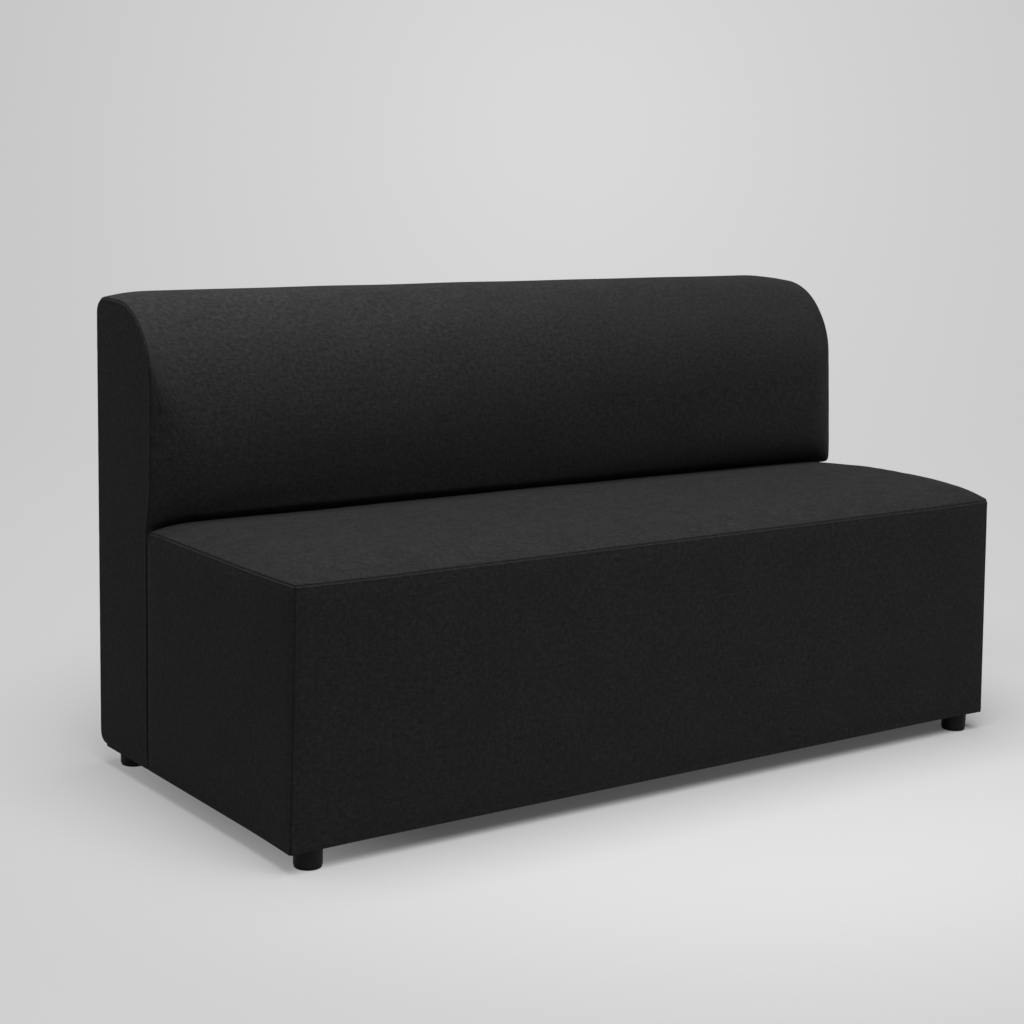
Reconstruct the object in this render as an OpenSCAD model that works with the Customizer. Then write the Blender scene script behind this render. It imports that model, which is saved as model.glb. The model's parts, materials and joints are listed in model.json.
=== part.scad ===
// Armless three-seater sofa: an upholstered seat block with an upholstered back block behind it,
// bolted together and standing on four levelling feet.
// X runs along the sofa, its front faces -Y and +Z is up.
// The origin is on the floor, in the middle of the footprint.

/* [Sofa] */
// Length between the end seams
sofa_w = 1500; // [1400:10:1700]
// Depth from the front face to the rear face
sofa_d = 660; // [650:5:700]
// Depth of the seat block, up to its joint with the back block
seat_d = 475; // [465:5:485]
// Height of the seam round the top of the seat
seat_h = 440; // [430:5:460]
// Height of the back at its end seams
back_h = 808; // [790:2:830]
// Clear height under the sofa
foot_h = 35; // [35:1:45]

/* [Upholstery] */
// Rise of the seat over its seam
seat_crown = 13; // [8:1:16]
// Distance from the seam over which the seat rises
crown_reach = 100; // [80:5:140]
// Outward swell of the flat sides
side_swell = 2; // [0.5:0.5:3]
// Forward swell of the back between its end seams
back_swell = 13; // [6:1:16]
// Upward swell of the back between its end seams
top_swell = 9; // [4:1:12]
// Distance from an end seam over which the back swells
swell_reach = 80; // [50:5:120]
// How far the back leans out over the seat at its end seams
back_lean = 15.5; // [10:0.5:18]
// Height over which it leans out
lean_h = 110; // [90:5:150]
// How far the back's cushion rolls out over the seat between its end seams
crease_roll = 20; // [10:1:22]
// Height over which it rolls out
crease_roll_h = 10; // [8:1:16]
// Radius of the back's front top edge
back_front_r = 125; // [110:5:135]
// Radius of the back's rear top edge
back_rear_r = 28; // [20:1:36]
// Radius of the bottom edges at the front and at the ends
hem_r = 8; // [6:1:8]
// Radius of the back's rear bottom edge
back_low_r = 22; // [20:1:24]
// Width of the rounding where the two blocks meet underneath
joint_r = 6; // [5:1:7]
// Radius of the upright corners at the front
corner_r = 9; // [8:1:12]
// Radius of the seat's upright corners at the joint
joint_corner_r = 3; // [2:0.5:6]
// Thickness of the fabric
fabric_t = 1.6; // [1.2:0.1:1.6]
// Thickness of the side foams and of the wadding
pad_t = 6; // [5:0.5:6]

/* [Frame] */
// Thickness of the plywood boards of the seat
board_t = 9; // [8:1:10]
// Thickness of the end panels and ribs of the back
panel_t = 15; // [12:1:18]
// Thickness of the thin boards on the back frame
skin_t = 5; // [4:0.5:5]
// Height of the base rails
rail_h = 45; // [45:1:50]
// Width of the front base rail and of the rails at the ends
rail_w = 70; // [65:1:80]
// Thickness of the rails that carry the springs
top_rail_t = 30; // [28:1:32]
// Height of the rails that carry the springs
top_rail_h = 60; // [50:1:70]
// Side of a corner post
post_w = 40; // [35:1:45]

/* [Springs] */
// Number of zigzag springs
spring_count = 11; // [7:1:12]
// Radius of the spring wire
wire_r = 1.9; // [1.7:0.1:2]
// Bends in one spring
bend_count = 14; // [12:1:16]
// Length of the straight between two bends
spring_run = 20; // [16:1:24]

/* [Feet] */
// Radius of a foot
foot_r = 22.5; // [21:0.5:24]
// Thickness of the glide under a foot
glide_t = 3; // [3:0.5:4]
// Distance of a foot's axis from the end of the sofa
foot_in_x = 43; // [42:0.5:46]
// Distance of a front foot's axis from the front face
foot_in_front = 23.5; // [23.5:0.5:26]
// Distance of a rear foot's axis from the rear face
foot_in_rear = 43; // [41:0.5:46]

/* [Hidden] */

// clearances: a loose layer, a hair's gap between parts that turn, and a running fit on the radius
ease = 0.4;
foot_gap = 0.3;
run_fit = 0.05;
skin = fabric_t + ease;
frame_in = skin + pad_t;

// outer faces of the two blocks
half_w = sofa_w / 2;
front_y = -sofa_d / 2;
rear_y = sofa_d / 2;
block_gap = 1;
seat_rear_y = front_y + seat_d - block_gap / 2;
back_front_y = front_y + seat_d + block_gap / 2;
back_face_y = back_front_y - back_lean;

// the frame inside them
frame_x = half_w - frame_in;
frame_front = front_y + frame_in;
frame_seat_rear = seat_rear_y - skin;
frame_back_front = back_front_y + skin;
frame_rear = rear_y - frame_in;
base_z = foot_h + skin;
rail_top = base_z + rail_h;
board_top = 336;
top_rail_z = board_top - 2 * (wire_r + run_fit) - 2;
insulator_t = 3;
foam_z = board_top + insulator_t;
join_rail_w = board_t + top_rail_t;
join_rail_y = frame_seat_rear - join_rail_w;

// the back's timber: its skins stand on rib_front and frame_rear, and its top is rounded like the foam
rib_front = back_front_y + 12.5;
rib_top = 760;
rib_front_r = 90;
rib_rear_r = 10;
back_rail_end = 200;
middle_rail_z = 270;
rib_x = 250;

// joining bolts: two low ones in the base rails and two high ones in the upper rails
bolt_x = 480;
bolt_z = [base_z + rail_h / 2, 300];
bolt_r = 4;
bolt_hole_r = bolt_r + 0.5;
washer_t = 1.6;
washer_r = 8.4;
hex_r = 7.5;
head_h = 5.3;
nut_h = 6.5;
bolt_tail = 3;

// feet, named by the corner seen from the front: fl, fr, rl and rr
foot_x = half_w - foot_in_x;
foot_front_y = front_y + foot_in_front;
foot_rear_y = rear_y - foot_in_rear;
stud_r = 4;
stud_low = 14;
stud_top = rail_top - 2;
tee_barrel_r = 5;
tee_flange_r = 11;
tee_flange_t = 1.5;
tee_h = 21.5;
pin_top = 10.5;
pin_hole_top = 11;

fabric_color = [0.12, 0.12, 0.125];
foam_color = [0.93, 0.88, 0.66];
wadding_color = [0.92, 0.92, 0.9];
felt_color = [0.5, 0.5, 0.52];
plywood_color = [0.8, 0.66, 0.46];
timber_color = [0.86, 0.74, 0.54];
cambric_color = [0.06, 0.06, 0.065];
steel_color = [0.7, 0.7, 0.72];
plastic_color = [0.05, 0.05, 0.052];

// A box between its lowest and its highest corner.
module span(low, high) {
    translate(low) cube(high - low);
}

// What is drawn for the +X end, and again for the -X end.
module both_ends() {
    children();
    mirror([1, 0, 0]) children();
}

// The space for timber in a block: a box whose bottom edges are cut off under the rounded hem. Each
// cut is [inwards, upwards]: of both ends, of the edge at y0 and of the edge at y1.
module timber_space(y0, y1, cut_end, cut_y0, cut_y1) {
    high = back_h;
    intersection() {
        translate([0, y1, 0]) rotate([90, 0, 0]) linear_extrude(y1 - y0) polygon([
            [-frame_x, high], [-frame_x, base_z + cut_end[1]], [cut_end[0] - frame_x, base_z],
            [frame_x - cut_end[0], base_z], [frame_x, base_z + cut_end[1]], [frame_x, high]
        ]);
        translate([-frame_x, 0, 0]) rotate([90, 0, 90]) linear_extrude(2 * frame_x) polygon([
            [y0, high], [y0, base_z + cut_y0[1]], [y0 + cut_y0[0], base_z],
            [y1 - cut_y1[0], base_z], [y1, base_z + cut_y1[1]], [y1, high]
        ]);
    }
}

arris = [2, 2];
joint_cut = [joint_r - skin, hem_r - skin + 1];
rear_cut = [back_low_r - frame_in, 10];

module seat_space() {
    timber_space(frame_front, frame_seat_rear, arris, arris, joint_cut);
}

module back_space() {
    timber_space(frame_back_front, frame_rear, arris, joint_cut, rear_cut);
}

// The mean of a ring's points.
function middle(ring) = [for (i = [0 : len(ring)]) 1] * concat(ring, [[0, 0, 0]]) / len(ring);

// A closed solid through rings of as many points each, stacked so that each runs counterclockwise
// seen from the last one. Its ends are fans round their middles, or flat faces where fans is false.
module stacked(rings, fans = true) {
    n = len(rings[0]);
    m = len(rings);
    top = (m - 1) * n;
    walls = [
        for (i = [0 : m - 2]) for (j = [0 : n - 1])
            let (a = i * n + j, b = i * n + (j + 1) % n)
                each [[a, a + n, b], [b, a + n, b + n]]
    ];
    first = fans ? [for (j = [0 : n - 1]) [m * n, j, (j + 1) % n]] : [[for (j = [0 : n - 1]) j]];
    last = fans ? [for (j = [0 : n - 1]) [m * n + 1, top + (j + 1) % n, top + j]]
        : [[for (j = [n - 1 : -1 : 0]) top + j]];
    middles = fans ? [middle(rings[0]), middle(rings[m - 1])] : [];
    polyhedron(concat([for (ring = rings) each ring], middles), concat(walls, first, last));
}

// Seat block

// Points along one side of a ring, from p to q, pushed out by up to swell along out.
function side_points(p, q, out, swell, count) = [
    for (i = [1 : count])
        let (u = i / (count + 1))
            p + (q - p) * u + out * swell * 4 * u * (1 - u)
];

// Points of a ring's corner, a quarter circle from angle start.
function corner_points(centre, r, start) = [
    for (a = [0 : 30 : 90]) centre + r * [cos(start + a), sin(start + a)]
];

// A level ring of the seat block, inset from its outer faces. The rear is inset less, since the top
// there runs on nearly level to the back, and its corners are tighter.
function seat_ring(inset, rear_inset, z, swell) =
    let (
        x = half_w - inset,
        y0 = front_y + inset,
        y1 = seat_rear_y - rear_inset,
        r = max(corner_r - inset, 1.5),
        rr = max(joint_corner_r - inset, 1),
        flat = concat(
            corner_points([r - x, y0 + r], r, 180),
            side_points([r - x, y0], [x - r, y0], [0, -1], swell, 3),
            corner_points([x - r, y0 + r], r, 270),
            side_points([x, y0 + r], [x, y1 - rr], [1, 0], swell, 2),
            corner_points([x - rr, y1 - rr], rr, 0),
            [[0, y1]],
            corner_points([rr - x, y1 - rr], rr, 90),
            side_points([-x, y1 - rr], [-x, y0 + r], [-1, 0], swell, 2)
        )
    )
    [for (p = flat) [p[0], p[1], z]];

// Share of the side swell at a height, none at the hem and at the seam.
function swell_at(z) =
    let (low = foot_h + hem_r)
    side_swell * sin(180 * max(0, min(1, (z - low) / (seat_h - low))));

// Share of the full rise reached at a distance from a seam.
function rise(distance, reach, power) = 1 - pow(1 - min(distance / reach, 1), power);

// The seat block's form, inset by inset all over. It starts with the rounded hem, or flat at bottom.
module seat_form(inset, bottom, hem) {
    side_steps = 4;
    rear_share = 0.12;
    crown_insets = [0, 3, 10, 24, 45, 70, crown_reach];
    low = hem ? foot_h + hem_r : bottom;
    high = seat_h - inset;
    hem_rings = [
        for (a = [0 : 22.5 : 67.5])
            let (r = hem_r - inset, rear_r = joint_r - inset)
                seat_ring(inset + r * (1 - sin(a)), inset + rear_r * (1 - sin(a)),
                    foot_h + inset + r * (1 - cos(a)), 0)
    ];
    side_rings = [
        for (i = [0 : side_steps - 1])
            let (z = low + (high - low) * i / side_steps) seat_ring(inset, inset, z, swell_at(z))
    ];
    crown_rings = [
        for (d = crown_insets)
            seat_ring(inset + d, inset + rear_share * d, high + seat_crown * rise(d, crown_reach, 3), 0)
    ];
    stacked(concat(hem ? hem_rings : [], side_rings, crown_rings));
}

module foot_holes(r) {
    for (y = [foot_front_y, foot_rear_y]) both_ends() {
        translate([foot_x, y, 0]) cylinder(r = r, h = rail_top);
    }
}

module bolt_holes(y0, y1) {
    for (z = bolt_z) both_ends() {
        translate([bolt_x, y1, z]) rotate([90, 0, 0]) cylinder(r = bolt_hole_r, h = y1 - y0);
    }
}

// The opening in the seat case under the frame, and in the dust cover's outline.
seat_open_x = 680;
seat_open_y = [front_y + 60, frame_seat_rear - 45];
back_open_y = [back_front_y + 45, rear_y - 75];
open_depth = 3 * fabric_t;

module seat_cover() {
    color(fabric_color) difference() {
        seat_form(0, 0, true);
        seat_form(fabric_t, 0, true);
        span([-seat_open_x, seat_open_y[0], foot_h - 1], [seat_open_x, seat_open_y[1], foot_h + open_depth]);
        foot_holes(stud_r + 2);
        bolt_holes(frame_seat_rear, back_front_y);
    }
}

module seat_wadding() {
    color(wadding_color) difference() {
        seat_form(skin, foam_z + ease, false);
        seat_form(frame_in, foam_z - pad_t, false);
    }
}

module seat_foam() {
    color(foam_color) seat_form(frame_in + ease, foam_z, false);
}

pad_low = foot_h + hem_r;
pad_high = board_top;

module seat_front_foam() {
    color(foam_color) span([-frame_x, front_y + skin, pad_low], [frame_x, frame_front, pad_high]);
}

module seat_end_foam() {
    color(foam_color) span([frame_x, frame_front, pad_low], [half_w - skin, frame_seat_rear, pad_high]);
}

module seat_left_foam() {
    mirror([1, 0, 0]) seat_end_foam();
}

module seat_right_foam() {
    seat_end_foam();
}

module seat_insulator() {
    color(felt_color) span([-frame_x, frame_front, board_top], [frame_x, frame_seat_rear, foam_z]);
}

spring_pitch = (2 * frame_x - 2 * board_t) / (spring_count + 0.4);
spring_y = frame_front + board_t + top_rail_t / 2;
bend_r = (join_rail_y - frame_front - board_t) / (2 * bend_count);
spring_end_y = spring_y + 2 * bend_r * bend_count;
spring_z = top_rail_z + 1 + wire_r + run_fit;

function spring_x(i) = (i - (spring_count - 1) / 2) * spring_pitch;

module zigzag_spring() {
    for (i = [0 : bend_count]) {
        translate([-spring_run / 2, 2 * bend_r * i, 0]) rotate([0, 90, 0])
            cylinder(r = wire_r, h = spring_run, $fn = 24);
    }
    for (i = [0 : bend_count - 1]) {
        side = i % 2 == 0 ? 1 : -1;
        translate([side * spring_run / 2, bend_r * (2 * i + 1), 0]) rotate([0, 0, -90 * side])
            rotate_extrude(angle = 180, $fn = 48) translate([bend_r, 0]) circle(wire_r, $fn = 24);
    }
}

module seat_springs() {
    color(steel_color) for (i = [0 : spring_count - 1]) {
        translate([spring_x(i), spring_y, spring_z]) zigzag_spring();
    }
}

module spring_clips() {
    clip = [16, 10, board_top - top_rail_z];
    color(steel_color) for (i = [0 : spring_count - 1]) for (y = [spring_y, spring_end_y]) {
        translate([spring_x(i), y, 0]) difference() {
            translate([-clip[0] / 2, -clip[1] / 2, top_rail_z]) cube(clip);
            translate([-clip[0], 0, spring_z]) rotate([0, 90, 0])
                cylinder(r = wire_r + run_fit, h = 2 * clip[0], $fn = 24);
        }
    }
}

module seat_front_board() {
    color(plywood_color)
        span([-frame_x, frame_front, rail_top], [frame_x, frame_front + board_t, board_top]);
}

module seat_rear_board() {
    color(plywood_color) difference() {
        span([-frame_x, frame_seat_rear - board_t, rail_top], [frame_x, frame_seat_rear, board_top]);
        bolt_holes(join_rail_y, back_front_y);
    }
}

module seat_end_board() {
    color(plywood_color) span([frame_x - board_t, frame_front + board_t, rail_top],
        [frame_x, frame_seat_rear - board_t, board_top]);
}

module seat_left_board() {
    mirror([1, 0, 0]) seat_end_board();
}

module seat_right_board() {
    seat_end_board();
}

inner_x = frame_x - board_t;

module seat_top_rail_front() {
    y = frame_front + board_t;
    color(timber_color)
        span([-inner_x, y, top_rail_z - top_rail_h], [inner_x, y + top_rail_t, top_rail_z]);
}

module seat_top_rail_rear() {
    color(timber_color) difference() {
        span([-inner_x, join_rail_y, top_rail_z - top_rail_h],
            [inner_x, join_rail_y + top_rail_t, top_rail_z]);
        bolt_holes(join_rail_y - 1, frame_seat_rear);
    }
}

// Room for the tee nuts and studs of the feet in a base rail.
module tee_nut_room() {
    foot_holes(tee_barrel_r + run_fit);
    translate([0, 0, rail_top - tee_flange_t - run_fit]) foot_holes(tee_flange_r + run_fit);
}

module seat_base_rail_front() {
    color(timber_color) difference() {
        intersection() {
            span([-frame_x, frame_front, base_z], [frame_x, frame_front + rail_w, rail_top]);
            seat_space();
        }
        tee_nut_room();
    }
}

module seat_base_rail_rear() {
    color(timber_color) difference() {
        intersection() {
            span([-frame_x, join_rail_y, base_z], [frame_x, frame_seat_rear, rail_top]);
            seat_space();
        }
        bolt_holes(join_rail_y - 1, back_front_y);
    }
}

module seat_base_rail_end() {
    color(timber_color) intersection() {
        span([frame_x - rail_w, frame_front + rail_w, base_z], [frame_x, join_rail_y, rail_top]);
        seat_space();
    }
}

module seat_base_rail_left() {
    mirror([1, 0, 0]) seat_base_rail_end();
}

module seat_base_rail_right() {
    seat_base_rail_end();
}

module seat_post(y) {
    color(timber_color)
        span([inner_x - post_w, y, rail_top], [inner_x, y + post_w, top_rail_z - top_rail_h]);
}

post_front_y = frame_front + board_t;
post_rear_y = frame_seat_rear - board_t - post_w;

module seat_post_front_left() {
    mirror([1, 0, 0]) seat_post(post_front_y);
}

module seat_post_front_right() {
    seat_post(post_front_y);
}

module seat_post_rear_left() {
    mirror([1, 0, 0]) seat_post(post_rear_y);
}

module seat_post_rear_right() {
    seat_post(post_rear_y);
}

// A cross panel between the long rails, cut down on top so that the springs can sink.
module seat_partition() {
    y0 = frame_front + board_t + top_rail_t;
    spring_room = 60;
    sink = 30;
    color(plywood_color) difference() {
        span([rib_x - panel_t / 2, y0, rail_top], [rib_x + panel_t / 2, join_rail_y, top_rail_z - wire_r]);
        span([rib_x - panel_t, y0 + spring_room, top_rail_z - sink],
            [rib_x + panel_t, join_rail_y - spring_room, top_rail_z]);
    }
}

module seat_partition_left() {
    mirror([1, 0, 0]) seat_partition();
}

module seat_partition_right() {
    seat_partition();
}

// A thin cloth under a block, with its corners cut off round the feet.
module dust_cover(y0, y1) {
    cloth_t = 0.6;
    lap = 14;
    corner = 34;
    x = seat_open_x + lap;
    color(cambric_color) translate([0, 0, foot_h - cloth_t - run_fit]) linear_extrude(cloth_t) polygon([
        [-x, y0 - lap + corner], [corner - x, y0 - lap], [x - corner, y0 - lap], [x, y0 - lap + corner],
        [x, y1 + lap - corner], [x - corner, y1 + lap], [corner - x, y1 + lap], [-x, y1 + lap - corner]
    ]);
}

module seat_dust_cover() {
    dust_cover(seat_open_y[0], seat_open_y[1]);
}

// Back block

function crease_z(p) = seat_h + 1 + 0.85 * seat_crown * p;

// How far the face of the back has come forward at a height over the crease: between the end seams
// it first rolls out over the seat, and the rest of the way it leans out.
function forward(height, p) =
    let (up = max(height, 0), roll = crease_roll * p, rest = back_lean + back_swell * p - roll)
    roll * rise(up, crease_roll_h, 2) + rest * rise(up, lean_h, 3);

// The back's side outline [y, z], inset all round, with the swell p of its wrap from 0 to 1 and its
// bottom lifted. It runs up the front, over the top and down the rear.
function back_outline(inset, p, lift) = concat(
    back_foot_front(inset, foot_h + inset + lift),
    leaning_face(inset, p, crease_z(p) + 0.5 * inset),
    back_top(inset, p),
    back_foot_rear(inset, p, foot_h + inset + lift)
);

function back_foot_front(inset, bottom) =
    let (r = max(hem_r - inset, 1), w = max(joint_r - inset, 1))
    [for (a = [0 : 30 : 90]) [back_front_y + inset + w * (1 - sin(a)), bottom + r * (1 - cos(a))]];

// Points up the leaning face from the height low.
function leaning_face(inset, p, low) =
    let (crease = crease_z(p) + 0.5 * inset, high = crease + lean_h)
    [
        for (t = [0, 0.02, 0.045, 0.09, 0.26, 0.55])
            let (z = low + (high - low) * t) [back_front_y + inset - forward(z - crease, p), z]
    ];

function back_top(inset, p) =
    let (
        ry = back_front_r + back_swell * p - inset,
        rz = back_front_r + top_swell * p - inset,
        face = back_face_y - back_swell * p + inset,
        top = back_h + top_swell * p - inset,
        rear = rear_y + side_swell * p - inset,
        r = max(back_rear_r - inset, 2)
    )
    concat(
        [for (a = [0 : 11.25 : 90]) [face + ry * (1 - cos(a)), top - rz * (1 - sin(a))]],
        [for (a = [0 : 30 : 90]) [rear - r * (1 - sin(a)), top - r * (1 - cos(a))]]
    );

function back_foot_rear(inset, p, bottom) =
    let (r = max(back_low_r - inset, 2), rear = rear_y + side_swell * p - inset)
    [for (a = [0 : 30 : 90]) [rear - r * (1 - cos(a)), bottom + r * (1 - sin(a))]];

// An outline set up at x, counterclockwise seen from +X.
function back_ring(x, outline) =
    let (n = len(outline))
    [for (j = [n - 1 : -1 : 0]) [x, outline[j][0], outline[j][1]]];

// Half of the stations along the back, as [x, outline], and their mirror images, made one stack.
module back_stack(half, fans = true) {
    last = len(half) - 1;
    stacked(concat(
        [for (i = [0 : last]) back_ring(-half[i][0], half[i][1])],
        [for (i = [last : -1 : 0]) back_ring(half[i][0], half[i][1])]
    ), fans);
}

// Lift of the bottom at a distance from an end, where its edge is a quarter circle of radius r.
function hem_lift(d, r) = r - sqrt(r * r - pow(r - min(d, r), 2));

// The back block's form, inset all over. Its end panels swell a little and its wrap swells between
// the end seams.
module back_form(inset) {
    x_end = half_w - inset;
    r = hem_r - inset;
    panel_steps = [[50, 1], [20, 0.6]];
    wrap_steps = [0, 0.6, 2.3, 4.6, 8, 16, 30, 50, swell_reach];
    back_stack(concat(
        [for (s = panel_steps) [x_end + side_swell * s[1], back_outline(inset + s[0], 0, r)]],
        [for (d = wrap_steps) [x_end - d, back_outline(inset, rise(d, swell_reach, 2), hem_lift(d, r))]]
    ));
}

// What lies outside a quarter circle of radius r that rises from the origin to [r, r].
module outside_arc(r) {
    difference() {
        translate([-1, 0]) square(r + 1);
        translate([r, 0]) circle(r, $fn = 96);
    }
}

// The outline of the timber and end foams, with its two top edges rounded.
module rib_outline(front, rear, bottom, top, front_r, rear_r) {
    difference() {
        translate([front, bottom]) square([rear - front, top - bottom]);
        translate([front, top - front_r]) outside_arc(front_r);
        translate([rear, top - rear_r]) mirror([1, 0]) outside_arc(rear_r);
    }
}

// An upright slab with that outline, from x to x + thick.
module rib_slab(x, thick, front, rear, bottom, top, front_r, rear_r) {
    translate([x, 0, 0]) rotate([90, 0, 90]) linear_extrude(thick)
        rib_outline(front, rear, bottom, top, front_r, rear_r);
}

module back_cover() {
    color(fabric_color) difference() {
        back_form(0);
        back_form(fabric_t);
        span([-seat_open_x, back_open_y[0], foot_h - 1], [seat_open_x, back_open_y[1], foot_h + open_depth]);
        foot_holes(stud_r + 2);
        bolt_holes(seat_rear_y - 1, frame_back_front);
    }
}

board_front = rib_front - skin_t;
foam_low = seat_h + seat_crown + ease;

// The foam's outline: down its outside from the face to the rear, and back along the timber.
function foam_outline(inset, p) =
    let (in_front = board_front - ease, in_top = rib_top + ease, in_r = rib_front_r, rear = rear_y - inset)
    concat(
        leaning_face(inset, p, foam_low),
        back_top(inset, p),
        [[rear + side_swell * p, in_top]],
        [for (a = [90 : -15 : 0]) [in_front + in_r * (1 - cos(a)), in_top - in_r * (1 - sin(a))]],
        [[in_front, foam_low]]
    );

// Foam over the front and the top of the back's timber, from seat height up.
module back_foam() {
    inset = skin + ease;
    steps = [frame_in, 16, 30, 50, swell_reach];
    color(foam_color)
        back_stack([for (d = steps) [half_w - d, foam_outline(inset, rise(d, swell_reach, 2))]], false);
}

module back_end_foam() {
    inset = skin + 1;
    color(foam_color) translate([frame_x, 0, 0]) rotate([90, 0, 90]) linear_extrude(pad_t)
        polygon(back_outline(inset, 0, hem_r));
}

module back_left_foam() {
    mirror([1, 0, 0]) back_end_foam();
}

module back_right_foam() {
    back_end_foam();
}

module back_rear_foam() {
    color(foam_color) span([-frame_x, frame_rear, foot_h + back_low_r],
        [frame_x, rear_y - skin, rib_top - rib_rear_r]);
}

module back_rib(x) {
    color(plywood_color) difference() {
        rib_slab(x, panel_t, rib_front, frame_rear - skin_t, rail_top, rib_top, rib_front_r, rib_rear_r);
        rail_slots();
    }
}

// Where the upper rails pass through the ribs.
module rail_slots() {
    span([-frame_x, rib_front, middle_rail_z], [frame_x, back_rail_end, middle_rail_z + top_rail_h]);
    span([-frame_x, top_rail_y, top_rail_low], [frame_x, top_rail_y + top_rail_t, rib_top]);
}

top_rail_y = rib_front + rib_front_r + 4;
top_rail_low = rib_top - top_rail_h;

module back_end_right() {
    back_rib(frame_x - panel_t);
}

module back_end_left() {
    mirror([1, 0, 0]) back_end_right();
}

module back_rib_right() {
    back_rib(rib_x - panel_t / 2);
}

module back_rib_left() {
    mirror([1, 0, 0]) back_rib_right();
}

module back_top_rail() {
    color(timber_color)
        span([-frame_x, top_rail_y, top_rail_low], [frame_x, top_rail_y + top_rail_t, rib_top]);
}

module back_middle_rail() {
    color(timber_color) difference() {
        span([-frame_x, rib_front, middle_rail_z], [frame_x, back_rail_end, middle_rail_z + top_rail_h]);
        bolt_holes(back_front_y, back_rail_end + 1);
    }
}

module back_base_rail_front() {
    color(timber_color) difference() {
        intersection() {
            span([-frame_x, frame_back_front, base_z], [frame_x, back_rail_end, rail_top]);
            back_space();
        }
        bolt_holes(seat_rear_y, back_rail_end + 1);
    }
}

module back_base_rail_rear() {
    color(timber_color) difference() {
        intersection() {
            span([-frame_x, frame_rear - rail_w, base_z], [frame_x, frame_rear, rail_top]);
            back_space();
        }
        tee_nut_room();
    }
}

module back_front_board() {
    color(plywood_color) difference() {
        span([-frame_x, board_front, rail_top], [frame_x, rib_front, rib_top - rib_front_r]);
        bolt_holes(back_front_y, rib_front + 1);
    }
}

module back_rear_board() {
    color(plywood_color)
        span([-frame_x, frame_rear - skin_t, rail_top], [frame_x, frame_rear, rib_top - rib_rear_r]);
}

module back_dust_cover() {
    dust_cover(back_open_y[0], back_open_y[1]);
}

// Fasteners

// A hexagon bolt along +Y, its head before y0, long enough for washers, nut and tail.
module joining_bolt() {
    shank = back_rail_end - join_rail_y + 2 * washer_t + nut_h + bolt_tail;
    rotate([-90, 0, 0]) {
        translate([0, 0, -head_h]) cylinder(r = hex_r, h = head_h, $fn = 6);
        cylinder(r = bolt_r, h = shank, $fn = 48);
    }
}

module washer() {
    difference() {
        cylinder(r = washer_r, h = washer_t, $fn = 48);
        translate([0, 0, -1]) cylinder(r = bolt_r + 0.2, h = washer_t + 2, $fn = 48);
    }
}

module at_bolts(y) {
    for (z = bolt_z) both_ends() translate([bolt_x, y, z]) children();
}

module joining_bolts() {
    color(steel_color) at_bolts(join_rail_y - washer_t) joining_bolt();
}

module joining_washers() {
    color(steel_color) for (y = [join_rail_y - washer_t, back_rail_end]) {
        at_bolts(y) rotate([-90, 0, 0]) washer();
    }
}

module joining_nuts() {
    color(steel_color) at_bolts(back_rail_end + washer_t) rotate([-90, 0, 0]) difference() {
        cylinder(r = hex_r, h = nut_h, $fn = 6);
        translate([0, 0, -1]) cylinder(r = bolt_r + run_fit, h = nut_h + 2, $fn = 48);
    }
}

// A staple driven up through a dust cover, its crown along X or along Y.
module staple(along_y) {
    crown = 10;
    wire = 0.6;
    leg = 9;
    rotate([0, 0, along_y ? 90 : 0]) {
        span([-crown / 2, -wire / 2, -wire], [crown / 2, wire / 2, 0]);
        span([-crown / 2, -wire / 2, -wire], [wire - crown / 2, wire / 2, leg]);
        span([crown / 2 - wire, -wire / 2, -wire], [crown / 2, wire / 2, leg]);
    }
}

module staple_row(y, count) {
    for (i = [0 : count - 1]) {
        translate([(i - (count - 1) / 2) * 100, y, staple_z]) staple(false);
    }
}

staple_z = foot_h - 0.7;
staple_in = 7;
staple_count = 13;

module cover_staples() {
    color(steel_color) {
        staple_row(seat_open_y[0] - staple_in, staple_count);
        staple_row(seat_open_y[1] + staple_in, staple_count);
        staple_row(back_open_y[0] - staple_in, staple_count);
        staple_row(back_open_y[1] + staple_in, staple_count);
        both_ends() for (y = [seat_open_y[0] + 80 : 70 : seat_open_y[1] - 40]) {
            translate([seat_open_x + staple_in, y, staple_z]) staple(true);
        }
    }
}

module foot_tee_nuts() {
    color(steel_color) for (y = [foot_front_y, foot_rear_y]) both_ends() {
        translate([foot_x, y, rail_top - tee_h]) difference() {
            union() {
                cylinder(r = tee_barrel_r, h = tee_h, $fn = 48);
                translate([0, 0, tee_h - tee_flange_t])
                    cylinder(r = tee_flange_r, h = tee_flange_t, $fn = 48);
            }
            translate([0, 0, -1]) cylinder(r = stud_r + run_fit, h = tee_h + 2, $fn = 48);
        }
    }
}

// Feet

// A plastic foot, hollow for its stud above and for the glide's pin below.
module foot(x, y) {
    low = glide_t + foot_gap;
    high = foot_h - foot_gap;
    edge = 1.2;
    color(plastic_color) translate([x, y, 0]) difference() {
        rotate_extrude($fn = 96) polygon([
            [0, low], [foot_r - edge, low], [foot_r, low + edge], [foot_r, high - edge / 2],
            [foot_r - edge / 2, high], [0, high]
        ]);
        translate([0, 0, stud_low]) cylinder(r = stud_r, h = foot_h, $fn = 48);
        cylinder(r = stud_r + run_fit, h = pin_hole_top, $fn = 48);
    }
}

module foot_stud(x, y) {
    tip = 1;
    color(steel_color) translate([x, y, 0]) rotate_extrude($fn = 48) polygon([
        [0, stud_low], [stud_r, stud_low], [stud_r, stud_top - tip], [stud_r - tip, stud_top], [0, stud_top]
    ]);
}

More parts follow.
